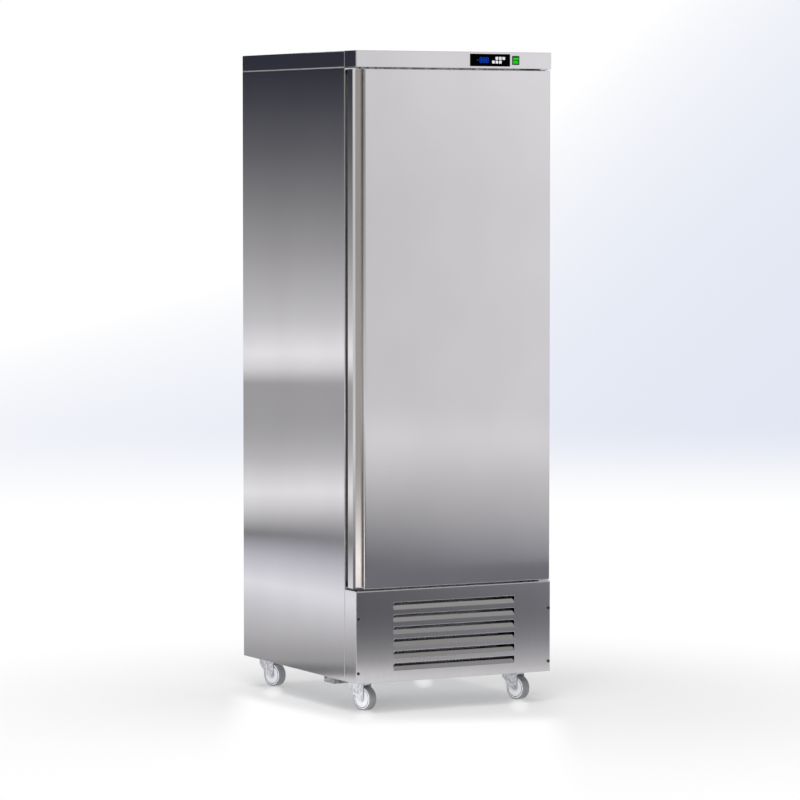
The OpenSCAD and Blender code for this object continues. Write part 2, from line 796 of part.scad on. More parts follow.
// Folded front sheet, and end plates at its top and bottom
module door_skin() {
    color("gainsboro") difference() {
        union() {
            door_extrude(door_z0, door_z1) folded_sheet(skin_path, sheet);
            door_extrude(door_z0, door_z0 + sheet) door_core(sheet + butt_joint);
            door_extrude(door_z1 - sheet, door_z1) door_core(sheet + butt_joint);
        }
        at_bushes() bush_hole();
    }
}

// Two strips: the wall behind the rolled edge, and the grip with the ledge
module handle_profile() {
    color("darkgray") door_extrude(door_z0, door_z1) difference() {
        folded_sheet(grip_path, sheet);
        translate([groove_reach, groove_depth - butt_joint]) square([sheet + 1, butt_joint]);
    }
}

module door_foam() {
    inset = pan_inset + liner_t;
    color("moccasin") difference() {
        union() {
            door_extrude(door_z0 + sheet, door_z1 - sheet) door_core(sheet);
            span([door_x0 + inset, y_front + door_t - 2 * liner_t - sheet, door_z0 + inset],
                [door_x0 + door_w - inset, y_front + door_t + pan_rise - liner_t, door_z1 - inset]);
        }
        at_bushes() bush_hole();
    }
}

module door_liner() {
    inset = pan_inset + liner_t;
    y1 = y_front + door_t;
    color("whitesmoke") difference() {
        union() {
            span([door_x0, y1 - liner_t, door_z0], [door_x0 + door_w, y1, door_z1]);
            span([door_x0 + pan_inset, y1 - liner_t, door_z0 + pan_inset],
                [door_x0 + door_w - pan_inset, y1 + pan_rise, door_z1 - pan_inset]);
        }
        span([door_x0 + inset, y1 - liner_t - 1, door_z0 + inset],
            [door_x0 + door_w - inset, y1 + pan_rise - liner_t, door_z1 - inset]);
    }
}

// Hollow strip along Z with its back on the door liner
module gasket_strip(len) {
    linear_extrude(len) difference() {
        square([gasket_w, gasket_t]);
        translate([gasket_wall, gasket_wall])
            round_rect(gasket_w - 2 * gasket_wall, gasket_t - 2 * gasket_wall, 2);
        translate([0, gasket_t]) rotate(270) corner_waste(2);
        translate([gasket_w, gasket_t]) rotate(180) corner_waste(2);
    }
}
module door_gasket() {
    y = y_front + door_t;
    z0 = door_z0 + gasket_inset;
    z1 = door_z1 - gasket_inset;
    x0 = door_x0 + gasket_inset;
    x1 = door_x0 + door_w - gasket_inset;
    color("dimgray") {
        for (x = [x0, x1 - gasket_w]) translate([x, y, z0]) gasket_strip(z1 - z0);
        for (z = [z0 + gasket_w, z1]) translate([x0 + gasket_w + butt_joint, y, z]) rotate([0, 90, 0])
            gasket_strip(x1 - x0 - 2 * gasket_w - 2 * butt_joint);
    }
}

// Interior

module shelf_rails() {
    slot_w = 14;
    slot_h = 6;
    slots = floor((rail_z1 - rail_z0 - 20) / rail_pitch);
    color("silver") for (side = [0, 1], y = rail_ys) mirror([side, 0, 0]) difference() {
        span([rail_x, y, rail_z0], [cav_x, y + rail_w, rail_z1]);
        for (i = [0 : slots - 1])
            translate([rail_x - 1, y + (rail_w - slot_w) / 2, rail_z0 + 20 + i * rail_pitch])
                cube([rail_t - 1, slot_w, slot_h]);
    }
}

module shelf_clips() {
    clip_h = 18;
    clip_w = 16;
    color("silver") for (side = [0, 1], y = rail_ys, z = shelf_zs) mirror([side, 0, 0])
        translate([rail_x, y + (rail_w + clip_w) / 2, z]) rotate([90, 0, 0]) linear_extrude(clip_w)
            polygon([[0, 0], [-clip_reach, 0], [-clip_reach, -4], [0, -clip_h]]);
}

module shelf(n) {
    z = shelf_zs[n - 1];
    r = shelf_rod_d / 2;
    step = (2 * shelf_x - 4 * shelf_rod_d) / (shelf_wires - 1);
    weld = 1;
    wire_z = z + r + (shelf_bar_d + shelf_wire_d) / 2 - weld;
    bar_inset = 12;
    color("whitesmoke") {
        for (side = [-1, 1]) along_y(side * (shelf_x - r), shelf_y0, z + r) cylinder(h = shelf_d, r = r);
        for (y = [shelf_y0 + bar_inset, shelf_y0 + shelf_d / 2, shelf_y1 - bar_inset])
            translate([-shelf_x + r, y, z + r]) rotate([0, 90, 0])
                cylinder(h = 2 * (shelf_x - r), d = shelf_bar_d);
        for (i = [0 : shelf_wires - 1])
            along_y(-shelf_x + 2 * shelf_rod_d + i * step, shelf_y0, wire_z)
                cylinder(h = shelf_d, d = shelf_wire_d, $fn = 24);
    }
}

// Evaporator

// Guard slots pressed in a sheet in front of a fan
module guard_slots(d) {
    hub = 40;
    rings = 5;
    step = (d - hub) / 2 / rings;
    bar = 5;
    difference() {
        for (i = [0 : rings - 1]) difference() {
            circle(d = hub + 2 * (i + 1) * step - bar);
            circle(d = hub + 2 * i * step + bar / 2);
        }
        for (a = [0 : 60 : 300]) rotate(a) translate([0, -bar / 2]) square([d, bar]);
    }
}

module evaporator_cover() {
    x = evap_w / 2;
    color("gainsboro") difference() {
        span([-x, evap_y0, evap_z0], [x, cav_y1, cav_z1]);
        span([-x + liner_t, evap_y0 + liner_t, evap_z0 + liner_t], [x - liner_t, cav_y1 + 1, cav_z1 + 1]);
        along_y(0, evap_y0 - 1, evap_axis_z) linear_extrude(liner_t + 2) guard_slots(evap_fan_d);
        for (i = [-4 : 4]) translate([i * 48 - 16, cav_y1 - 110, evap_z0 - 1])
            linear_extrude(liner_t + 2) round_rect(32, 70, 6);
    }
}

// Finned block with return bends. Fins stand along X, bends stick out at both ends.
module coil(w, d, h, tubes, tube_d, fin_pitch) {
    core = d / 4;
    gap = fin_pitch * 0.7;
    fins = floor(w / fin_pitch);
    step = h / tubes;
    difference() {
        translate([-w / 2, 0, 0]) cube([w, d, h]);
        for (i = [0 : fins - 1], y = [-1, d / 2 + core / 2])
            translate([-w / 2 + (i + 0.5) * w / fins - gap / 2, y, -1])
                cube([gap, d / 2 - core / 2 + 1, h + 2]);
    }
    for (side = [0, 1], i = [0 : 2 : tubes - 2]) mirror([side, 0, 0])
        translate([w / 2 - eps, d / 2, (i + 1) * step]) rotate([0, 90, 0]) rotate([90, 0, 0])
            rotate_extrude(angle = 180) translate([step / 2, 0]) circle(d = tube_d);
}

module evaporator_coil() {
    w = evap_w - 120;
    d = cav_y1 - 20 - evap_coil_y;
    h = evap_h - 40;
    color("lightgray") {
        translate([0, evap_coil_y, evap_z0 + 20]) coil(w, d, h, 4, 10, 14);
        for (side = [-1, 1])
            span([side * (w / 2 - 8) - 8, evap_coil_y + d / 2 - 10, evap_z0 + 20 + h - eps],
                [side * (w / 2 - 8) + 8, evap_coil_y + d / 2 + 10, cav_z1]);
    }
}

module motor(d, len, shaft_len) {
    translate([0, 0, 4]) cylinder(h = len - 8, d = d);
    cylinder(h = len, d = d - 12);
    translate([0, 0, -shaft_len]) cylinder(h = shaft_len + 1, d = shaft_d);
}

module evaporator_motor() {
    stand_w = 30;
    color("dimgray") {
        along_y(0, evap_motor_y, evap_axis_z) motor(evap_motor_d, evap_motor_len, evap_fan_t + 2);
        span([-stand_w / 2, evap_motor_y + 12, evap_axis_z], [stand_w / 2, evap_motor_y + evap_motor_len - 12, cav_z1]);
    }
}

// Axial fan along Z, its hub bored for the motor shaft
module fan(d, t, blades, pitch) {
    hub_d = d / 3;
    difference() {
        union() {
            cylinder(h = t, d = hub_d);
            intersection() {
                cylinder(h = t, d = d);
                for (i = [0 : blades - 1]) rotate(i * 360 / blades)
                    translate([hub_d / 2 - 4, 0, t / 2]) rotate([pitch, 0, 0])
                        translate([0, -d / 7, -0.9]) cube([d / 2, 2 * d / 7, 1.8]);
            }
        }
        translate([0, 0, -1]) cylinder(h = t + 2, d = shaft_d + 2 * run_fit);
    }
}
module evaporator_fan() {
    color("black") along_y(0, evap_fan_y, evap_axis_z) fan(evap_fan_d - 8, evap_fan_t, 5, 28);
}

// Machine compartment

module compressor() {
    r = comp_d / 2;
    seam_z = comp_h * 0.55;
    foot_w = comp_d + 44;
    foot_d = comp_d - 20;
    plate_h = 4;
    port = 26;
    color("black") translate([comp_x, comp_y, pan_top]) {
        for (x = [-1, 1], y = [-1, 1])
            translate([x * (foot_w / 2 - 16), y * (foot_d / 2 - 16), 0]) cylinder(h = comp_feet + eps, d = 26);
        translate([-foot_w / 2, -foot_d / 2, comp_feet]) linear_extrude(plate_h) round_rect(foot_w, foot_d, 14);
        translate([0, 0, comp_feet + plate_h - eps]) rotate_extrude() intersection() {
            union() {
                square([r - 4, comp_h]);
                translate([0, seam_z]) square([r, 8]);
            }
            translate([0, comp_h - 1.6 * r]) circle(1.6 * r);
        }
        for (y = [-30, 30]) translate([-r - port + 10, y, comp_feet + comp_h * 0.4]) rotate([0, 90, 0])
            cylinder(h = port, d = line_d);
    }
}

module condenser_coil() {
    color("dimgray") {
        translate([0, cond_y0, pan_top + cond_foot]) coil(cond_w, cond_d, cond_h, cond_tubes, line_d, 12);
        for (side = [-1, 1])
            span([side * (cond_w / 2 - 20) - 12, cond_y0 + 10, pan_top],
                [side * (cond_w / 2 - 20) + 12, cond_y1 - 10, pan_top + cond_foot + eps]);
    }
}

module condenser_shroud() {
    x = cond_w / 2;
    bore = cond_fan_d + 10;
    color("dimgray") difference() {
        union() {
            span([-x, cond_y1, pan_top], [x, cond_y1 + shroud_t, pan_top + cond_foot + cond_h]);
            along_y(0, cond_y1, cond_axis_z) cylinder(h = shroud_ring, d = bore + 4);
        }
        along_y(0, cond_y1 - 1, cond_axis_z) cylinder(h = shroud_ring + 2, d = bore);
    }
}

module condenser_motor() {
    stand_w = 46;
    color("dimgray") {
        along_y(0, cond_motor_y, cond_axis_z)
            motor(cond_motor_d, cond_motor_len, cond_motor_y - cond_fan_y - 2);
        span([-stand_w / 2, cond_motor_y + 20, pan_top], [stand_w / 2, cond_motor_y + cond_motor_len - 20, cond_axis_z]);
    }
}

module condenser_fan() {
    color("gray") along_y(0, cond_fan_y, cond_axis_z) fan(cond_fan_d, cond_fan_t, 5, 24);
}

module condensate_tray() {
    wall = 2;
    x0 = -hw + 40;
    x1 = -60;
    y0 = comp_y - 70;
    y1 = y_back - 30;
    color("gray") difference() {
        translate([x0, y0, pan_top]) linear_extrude(tray_h) round_rect(x1 - x0, y1 - y0, 12);
        translate([x0 + wall, y0 + wall, pan_top + wall]) linear_extrude(tray_h)
            round_rect(x1 - x0 - 2 * wall, y1 - y0 - 2 * wall, 10);
    }
}

// Tube swept along a path of straight runs with round bends
line_bend = 22;
line_sides = 10;
bend_steps = 5;
// Points that round corner b of the run a-b-c
function bend_points(a, b, c) = let (p = b + line_bend * unit(a - b), q = b + line_bend * unit(c - b))
    [for (i = [0 : bend_steps]) let (t = i / bend_steps)
        (1 - t) * (1 - t) * p + 2 * t * (1 - t) * b + t * t * q];
function bent_path(p) = concat([p[0]],
    [for (i = [1 : len(p) - 2]) each bend_points(p[i - 1], p[i], p[i + 1])], [p[len(p) - 1]]);
function tangent(p, i) = unit(p[min(i + 1, len(p) - 1)] - p[max(i - 1, 0)]);
function tube_ring(p, i, d) = let (t = tangent(p, i), n = unit(cross(t, [0.37, 0.61, 0.7])), b = cross(t, n))
    [for (k = [0 : line_sides - 1]) let (a = 360 * k / line_sides)
        p[i] + d / 2 * (cos(a) * n + sin(a) * b)];
module tube(path, d) {
    p = bent_path(path);
    n = len(p);
    points = [for (i = [0 : n - 1]) each tube_ring(p, i, d)];
    sides = [for (i = [0 : n - 2], k = [0 : line_sides - 1]) let (m = (k + 1) % line_sides)
        [i * line_sides + k, i * line_sides + m, (i + 1) * line_sides + m, (i + 1) * line_sides + k]];
    start = [[for (k = [line_sides - 1 : -1 : 0]) k]];
    end = [[for (k = [0 : line_sides - 1]) (n - 1) * line_sides + k]];
    polyhedron(points, concat(sides, start, end));
}

// Suction line from the deck to the compressor, and discharge line to the condenser
module refrigerant_lines() {
    port_x = comp_x - comp_d / 2 - 16;
    port_z = pan_top + comp_feet + comp_h * 0.4;
    cond_x = cond_w / 2 + 50;
    cond_y = cond_y0 + cond_d / 2;
    cond_z = pan_top + cond_foot + 0.75 * cond_h;
    run_z = deck_z - sheet - 30;
    color("peru") {
        tube([[port_x, comp_y + 30, port_z], [port_x - 40, comp_y + 30, port_z],
            [port_x - 40, comp_y + 30, run_z], [port_x - 40, y_back - 80, run_z],
            [port_x - 40, y_back - 80, deck_z - sheet]], line_d);
        tube([[port_x, comp_y - 30, port_z], [port_x - 40, comp_y - 30, port_z],
            [port_x - 40, comp_y - 30, run_z], [port_x - 40, comp_y - 120, run_z],
            [cond_x, comp_y - 120, run_z], [cond_x, cond_y, run_z], [cond_x, cond_y, cond_z],
            [cond_w / 2, cond_y, cond_z]], line_d);
    }
}

// Casters

// Puts a caster, modelled round the Z axis with its wheel towards -Y, at its corner
module at_caster(side, end) {
    translate([caster_xs[side], caster_ys[end], 0]) rotate(caster_swivel) children();
}

// Mounting plate with the swivel pin
module caster_plates() {
    hole = 8.5;
    hole_at = plate_w / 2 - 10;
    head_t = 4;
    color("darkgray") for (side = [0, 1], end = [0, 1])
        translate([caster_xs[side], caster_ys[end], 0]) union() {
            translate([-plate_w / 2, -plate_w / 2, plate_z]) linear_extrude(plate_t) difference() {
                round_rect(plate_w, plate_w, 6);
                for (x = [-1, 1], y = [-1, 1])
                    translate([plate_w / 2 + x * hole_at, plate_w / 2 + y * hole_at]) circle(d = hole);
            }
            translate([0, 0, crown_z - race_gap - eps]) cylinder(h = plate_z - crown_z + race_gap + 1, d = kingpin_d);
            translate([0, 0, crown_z - race_gap - head_t]) cylinder(h = head_t, d = kingpin_d + 8);
        }
}

// Side view of a fork leg: X is the trail direction, Y the height
module fork_leg() {
    boss_r = 10;
    back = -25;
    front = caster_trail + boss_r;
    shoulder = crown_z - 11;
    union() {
        polygon([[back, race_z], [back, shoulder], [-4, axle_z + 9], [caster_trail - 7, axle_z - 7],
            [front, axle_z], [front, race_z]]);
        translate([caster_trail, axle_z]) circle(boss_r);
    }
}

module fork(side, end) {
    length = caster_trail + 10 + 25;
    head_t = 3;
    color("silver") at_caster(side, end) {
        difference() {
            union() {
                for (x = [-fork_x - fork_t, fork_x]) translate([x, 0, 0]) rotate([90, 0, 90])
                    linear_extrude(fork_t) mirror([1, 0, 0]) fork_leg();
                span([-fork_x - fork_t, 25 - length, crown_z], [fork_x + fork_t, 25, race_z]);
                translate([0, 0, race_z - eps]) rotate_extrude() difference() {
                    square([race_d / 2, race_h]);
                    translate([race_d / 2, race_h]) rotate(180) corner_waste(5);
                }
            }
            translate([0, 0, crown_z - 1]) cylinder(h = race_h + crown_t + 2, d = kingpin_d + 2 * run_fit);
        }
        translate([-fork_x - fork_t - head_t, -caster_trail, axle_z]) rotate([0, 90, 0]) {
            cylinder(h = 2 * (fork_x + fork_t + head_t), d = axle_d);
            cylinder(h = head_t, d = axle_d + 5);
            translate([0, 0, 2 * (fork_x + fork_t) + head_t]) cylinder(h = head_t, d = axle_d + 5, $fn = 6);
        }
    }
}

// Puts what is modelled round Z on the axle of a caster
module at_wheel(side, end) {
    at_caster(side, end) translate([0, -caster_trail, axle_z]) rotate([0, 90, 0]) children();
}

module wheel(side, end) {
    hub = wheel_w / 2;
    ring_r = hub_r - 5.5;
    ring_w = 2;
    ring_depth = 6;
    color("white") at_wheel(side, end) rotate_extrude() difference() {
        translate([axle_d / 2 + run_fit, -hub]) square([hub_r - axle_d / 2 - run_fit, wheel_w]);
        for (m = [0, 1]) mirror([0, m]) {
            translate([ring_r, hub - ring_depth]) square([ring_w, ring_depth + 1]);
            translate([hub_r, hub]) rotate(180) corner_waste(1.5);
        }
    }
}

module tyre(side, end) {
    tread_w = wheel_w - 2;
    color("dimgray") at_wheel(side, end) rotate_extrude() difference() {
        translate([hub_r, -tread_w / 2]) square([tyre_t, tread_w]);
        for (m = [0, 1]) mirror([0, m])
            translate([wheel_d / 2, tread_w / 2]) rotate(180) corner_waste(2);
    }
}

left_side_panel();
right_side_panel();
back_panel();
top_cover();
control_fascia();
front_frame();
deck_sheet();
base_pan();
base_channel();
cabinet_foam();
inner_liner();
breaker_frame();
grille_panel();
grille_posts();
grille_screws();
display_panel();
key(1);  // key_1
key(2);  // key_2
key(3);  // key_3
key(4);  // key_4
key(5);  // key_5
key(6);  // key_6
switch_frame();
rocker();
hinge_brackets();
hinge_bushes();
door_skin();
handle_profile();
door_foam();
door_liner();
door_gasket();
shelf_rails();
shelf_clips();
shelf(1);  // shelf_1
shelf(2);  // shelf_2
shelf(3);  // shelf_3
evaporator_cover();
evaporator_coil();
evaporator_motor();
evaporator_fan();
compressor();
condenser_coil();
condenser_shroud();
condenser_motor();
condenser_fan();
condensate_tray();
refrigerant_lines();
caster_plates();
fork(0, 0);  // fork_front_left
fork(1, 0);  // fork_front_right
fork(0, 1);  // fork_rear_left
fork(1, 1);  // fork_rear_right
wheel(0, 0);  // wheel_front_left
wheel(1, 0);  // wheel_front_right
wheel(0, 1);  // wheel_rear_left
wheel(1, 1);  // wheel_rear_right
tyre(0, 0);  // tyre_front_left
tyre(1, 0);  // tyre_front_right
tyre(0, 1);  // tyre_rear_left
tyre(1, 1);  // tyre_rear_right
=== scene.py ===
"""Looks of a single-door reach-in refrigerator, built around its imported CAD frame."""
import json
import math

import bmesh
import bpy
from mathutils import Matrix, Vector


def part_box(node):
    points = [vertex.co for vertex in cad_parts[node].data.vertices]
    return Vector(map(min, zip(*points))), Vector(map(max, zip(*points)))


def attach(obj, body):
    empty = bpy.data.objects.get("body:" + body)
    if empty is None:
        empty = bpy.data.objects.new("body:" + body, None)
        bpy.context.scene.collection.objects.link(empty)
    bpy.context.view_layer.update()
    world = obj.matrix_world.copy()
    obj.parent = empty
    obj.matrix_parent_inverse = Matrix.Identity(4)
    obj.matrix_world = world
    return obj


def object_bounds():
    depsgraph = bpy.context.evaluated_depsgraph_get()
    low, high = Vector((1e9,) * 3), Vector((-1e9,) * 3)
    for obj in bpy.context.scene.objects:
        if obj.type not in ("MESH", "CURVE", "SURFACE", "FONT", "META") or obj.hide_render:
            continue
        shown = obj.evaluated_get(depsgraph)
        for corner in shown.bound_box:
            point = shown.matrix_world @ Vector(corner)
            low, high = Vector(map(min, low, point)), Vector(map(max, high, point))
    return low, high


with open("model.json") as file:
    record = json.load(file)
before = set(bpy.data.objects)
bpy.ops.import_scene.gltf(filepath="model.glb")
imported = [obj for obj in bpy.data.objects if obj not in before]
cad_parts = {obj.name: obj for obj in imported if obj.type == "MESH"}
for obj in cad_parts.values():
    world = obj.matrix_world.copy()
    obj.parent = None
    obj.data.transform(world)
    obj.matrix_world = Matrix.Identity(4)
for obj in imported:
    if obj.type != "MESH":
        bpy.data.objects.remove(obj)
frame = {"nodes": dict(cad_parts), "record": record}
nodes = frame["nodes"]
cad_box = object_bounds()
scene = bpy.context.scene
scene.view_settings.view_transform = "Standard"

MM = 0.001

# Camera of the photograph, in the part's own frame

CAMERA_PLACE = Vector((-5.894, -11.2867, 1.728))
CAMERA_YAW = math.radians(27.648)
CAMERA_PITCH = math.radians(3.5175)
CAMERA_LENS = 179.0
CAMERA_SENSOR = 36.0
CAMERA_REACH = 200.0
# Level directions of the view: away from the camera, and to its right
AHEAD = Vector((math.sin(CAMERA_YAW), math.cos(CAMERA_YAW), 0))
RIGHT = Vector((math.cos(CAMERA_YAW), -math.sin(CAMERA_YAW), 0))

camera_data = bpy.data.cameras.new("camera")
camera_data.lens = CAMERA_LENS
camera_data.sensor_width = CAMERA_SENSOR
camera_data.clip_end = CAMERA_REACH
camera = bpy.data.objects.new("camera", camera_data)
camera.location = CAMERA_PLACE
camera.rotation_euler = (math.pi / 2 - CAMERA_PITCH, 0, -CAMERA_YAW)
scene.collection.objects.link(camera)
scene.camera = camera


# Finishes

# Span of a noise's values over which a finish changes, and the narrower one for cloudy wear of steel
NOISE_LOW = 0.3
NOISE_HIGH = 0.7
WEAR_LOW = 0.35
WEAR_HIGH = 0.65
# Patches of wear or cloudiness per metre
WEAR_GRAIN = (5, 5, 3)
CLOUD_GRAIN = (25, 25, 25)
# Depths of the brushed grain and of all other textures
BRUSH_DEPTH = 0.2 * MM
TEXTURE_DEPTH = 0.3 * MM
# Share of the colour that the painted shade leaves in a groove, and the openness where that shade is deepest
# and where it ends
GROOVE_SHADE = 0.12
GROOVE_SHADE_FULL = 0.35
GROOVE_SHADE_END = 0.8
# Samples of the painted shade in grooves and of the rounded edges
GROOVE_SHADE_SAMPLES = 6
EDGE_SAMPLES = 4
# Zinc: share of metal, share of the crystals against a grain that is this many times finer, span of the
# mixture over which its colour changes, roughness from dark to light, and relief
ZINC_METAL = 0.6
ZINC_CRYSTALS = 0.7
ZINC_FINER = 4
ZINC_LOW = 0.15
ZINC_HIGH = 0.8
ZINC_ROUGH = (0.5, 0.28)
ZINC_RELIEF = 0.05


class Nodes:
    """Short ways to add nodes to one node tree."""

    def __init__(self, tree, coords="Object"):
        self.tree = tree
        self.coords = self.new("TexCoord").outputs[coords]

    def new(self, kind, **values):
        node = self.tree.nodes.new("ShaderNode" + kind)
        for key, value in values.items():
            setattr(node, key, value)
        return node

    def put(self, value, socket):
        """Links another socket to this one, or sets a constant on it."""
        if isinstance(value, bpy.types.NodeSocket):
            self.tree.links.new(value, socket)
        else:
            socket.default_value = value

    def math(self, operation, *values):
        node = self.new("Math", operation=operation)
        for value, socket in zip(values, node.inputs):
            self.put(value, socket)
        return node.outputs[0]

    def dot(self, vector, direction):
        node = self.new("VectorMath", operation="DOT_PRODUCT")
        self.put(vector, node.inputs[0])
        node.inputs[1].default_value = direction
        return node.outputs["Value"]

    def stretch(self, scale):
        node = self.new("Mapping")
        self.put(self.coords, node.inputs["Vector"])
        node.inputs["Scale"].default_value = scale
        return node.outputs["Vector"]

    def noise(self, scale, detail=3.0):
        """Noise with its own number of grains per metre along each axis."""
        node = self.new("TexNoise")
        self.put(self.stretch(scale), node.inputs["Vector"])
        node.inputs["Scale"].default_value = 1.0
        node.inputs["Detail"].default_value = detail
        return node.outputs["Fac"]

    def cells(self, per_metre):
        """One even grey for each cell of a crystal pattern."""
        node = self.new("TexVoronoi")
        self.put(self.coords, node.inputs["Vector"])
        node.inputs["Scale"].default_value = per_metre
        split = self.new("SeparateColor")
        self.put(node.outputs["Color"], split.inputs[0])
        return split.outputs[0]

    def range(self, value, low, high, start=0.0, end=1.0, smooth=False):
        """Maps start..end to low..high, held at both ends."""
        node = self.new("MapRange", interpolation_type="SMOOTHSTEP" if smooth else "LINEAR")
        self.put(value, node.inputs["Value"])
        for name, number in (("From Min", start), ("From Max", end), ("To Min", low), ("To Max", high)):
            node.inputs[name].default_value = number
        return node.outputs["Result"]

    def ramp(self, value, stops):
        """Colour along a list of (place, colour)."""
        node = self.new("ValToRGB")
        self.put(value, node.inputs["Fac"])
        elements = node.color_ramp.elements
        while len(elements) < len(stops):
            elements.new(1.0)
        for element, (place, color) in zip(elements, stops):
            element.position = place
            element.color = (*color, 1)
        return node.outputs["Color"]

    def mix_shader(self, share, first, second):
        node = self.new("MixShader")
        for value, socket in zip((share, first, second), node.inputs):
            self.put(value, socket)
        return node.outputs[0]

    def bump(self, height, strength, depth, edge=0.0):
        """Relief that follows a height, over sheet edges that look rounded by this radius."""
        node = self.new("Bump")
        if edge:
            bevel = self.new("Bevel", samples=EDGE_SAMPLES)
            bevel.inputs["Radius"].default_value = edge
            self.put(bevel.outputs["Normal"], node.inputs["Normal"])
        node.inputs["Strength"].default_value = strength
        node.inputs["Distance"].default_value = depth
        self.put(height, node.inputs["Height"])
        return node.outputs["Normal"]


class Finish(Nodes):
    """One material of the part: a Principled shader with procedural detail."""

    def __init__(self, name, color, metallic=0.0, roughness=0.5, **values):
        self.material = bpy.data.materials.new(name)
        self.material.use_nodes = True
        super().__init__(self.material.node_tree)
        self.shader = self.tree.nodes["Principled BSDF"]
        self.set(**{"Base Color": (*color, 1), "Metallic": metallic, "Roughness": roughness}, **values)

    def set(self, **values):
        for name, value in values.items():
            self.put(value, self.shader.inputs[name])

    def paint_groove_shade(self, color, depth):
        """Colour with painted shade in grooves of this depth, darker where ambient occlusion finds them
        closed in.
        """
        near = self.new("AmbientOcclusion", samples=GROOVE_SHADE_SAMPLES)
        near.inputs["Distance"].default_value = depth
        groove_shaded = self.new("MixRGB", blend_type="MULTIPLY")
        shade = self.range(near.outputs["AO"], GROOVE_SHADE, 1.0, GROOVE_SHADE_FULL, GROOVE_SHADE_END)
        for value, socket in zip((1.0, color, shade), groove_shaded.inputs):
            self.put(value, socket)
        return groove_shaded.outputs[0]


def brushed(name, dark, light, rough, grain=(260, 260, 5), relief=0.012, edge=0.0):
    """Metal with a fine grain, faint cloudy wear and softly rounded edges."""
    finish = Finish(name, light, metallic=1.0)
    streaks = finish.noise(grain, detail=4)
    wear = finish.noise(WEAR_GRAIN, detail=2)
    finish.set(**{"Base Color": finish.ramp(wear, [(WEAR_LOW, dark), (WEAR_HIGH, light)]),
                  "Roughness": finish.range(streaks, *rough, NOISE_LOW, NOISE_HIGH),
                  "Normal": finish.bump(streaks, relief, BRUSH_DEPTH, edge)})
    return finish.material


def galvanized(name, per_metre, dark, light):
    """Zinc-coated sheet with its crystal pattern."""
    finish = Finish(name, light, metallic=ZINC_METAL)
    crystals = finish.math("MULTIPLY", finish.cells(per_metre), ZINC_CRYSTALS)
    grain = finish.noise((per_metre * ZINC_FINER,) * 3)
    mixed = finish.math("MULTIPLY_ADD", grain, 1 - ZINC_CRYSTALS, crystals)
    finish.set(**{"Base Color": finish.ramp(mixed, [(ZINC_LOW, dark), (ZINC_HIGH, light)]),
                  "Roughness": finish.range(mixed, *ZINC_ROUGH),
                  "Normal": finish.bump(grain, ZINC_RELIEF, TEXTURE_DEPTH)})
    return finish.material


def moulded(name, dark, light, rough, grains=900, relief=0.05, groove_shade=0.0, **values):
    """Plastic, rubber or paint with a fine texture, faint cloudiness and painted shade in grooves of this
    depth.
    """
    finish = Finish(name, light, **values)
    clouds = finish.noise(CLOUD_GRAIN, detail=4)
    pores = finish.noise((grains,) * 3, detail=2)
    color = finish.ramp(clouds, [(NOISE_LOW, dark), (NOISE_HIGH, light)])
    finish.set(**{"Base Color": finish.paint_groove_shade(color, groove_shade) if groove_shade else color,
                  "Roughness": finish.range(clouds, *rough, NOISE_LOW, NOISE_HIGH),
                  "Normal": finish.bump(pores, relief, TEXTURE_DEPTH)})
    return finish.material


